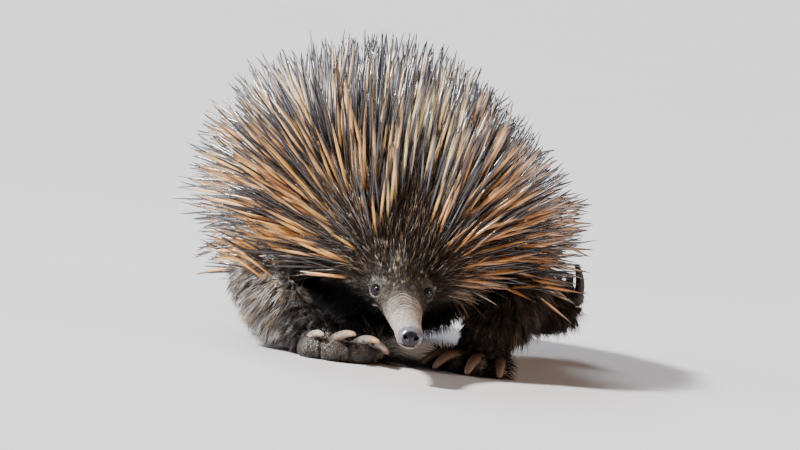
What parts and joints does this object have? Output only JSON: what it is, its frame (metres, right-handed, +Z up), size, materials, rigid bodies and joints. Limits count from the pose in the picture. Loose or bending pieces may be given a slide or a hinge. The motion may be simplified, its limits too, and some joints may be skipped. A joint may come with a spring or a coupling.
{
  "type": "short-beaked echidna",
  "caption": "Life-size walking echidna with a slender bare beak, a domed back of long tapered spines, furred legs and stout digging claws, one hind foot raised.",
  "frame": {"origin": "middle of the bounding box in plan, on the floor that the feet stand on", "axes": "+Z up, the animal faces -Y, its left side is +X"},
  "size_m": [0.259, 0.3962, 0.1946],
  "materials": {
    "coat": "matte",
    "beak_skin": "satin",
    "foot_skin": "matte",
    "claw": "satin",
    "eye": "gloss"
  },
  "bodies": {
    "root": {"beak": "beak_skin", "head": "coat", "torso": "coat", "tail": "coat", "ear_left": "coat", "ear_right": "coat", "eye_left": "eye", "eye_right": "eye", "foreleg_left": "coat", "foreleg_right": "coat", "hindleg_left": "coat", "hindleg_right": "coat", "forefoot_left": "foot_skin", "forefoot_left_claw_1": "claw", "forefoot_left_claw_2": "claw", "forefoot_left_claw_3": "claw", "forefoot_left_claw_4": "claw", "forefoot_left_claw_5": "claw", "forefoot_right": "foot_skin", "forefoot_right_claw_1": "claw", "forefoot_right_claw_2": "claw", "forefoot_right_claw_3": "claw", "forefoot_right_claw_4": "claw", "forefoot_right_claw_5": "claw", "hindfoot_left": "foot_skin", "hindfoot_left_claw_1": "claw", "hindfoot_left_claw_2": "claw", "hindfoot_left_claw_3": "claw", "hindfoot_left_claw_4": "claw", "hindfoot_left_claw_5": "claw", "hindfoot_right": "foot_skin", "hindfoot_right_claw_1": "claw", "hindfoot_right_claw_2": "claw", "hindfoot_right_claw_3": "claw", "hindfoot_right_claw_4": "claw", "hindfoot_right_claw_5": "claw"}
  },
  "joints": []
}
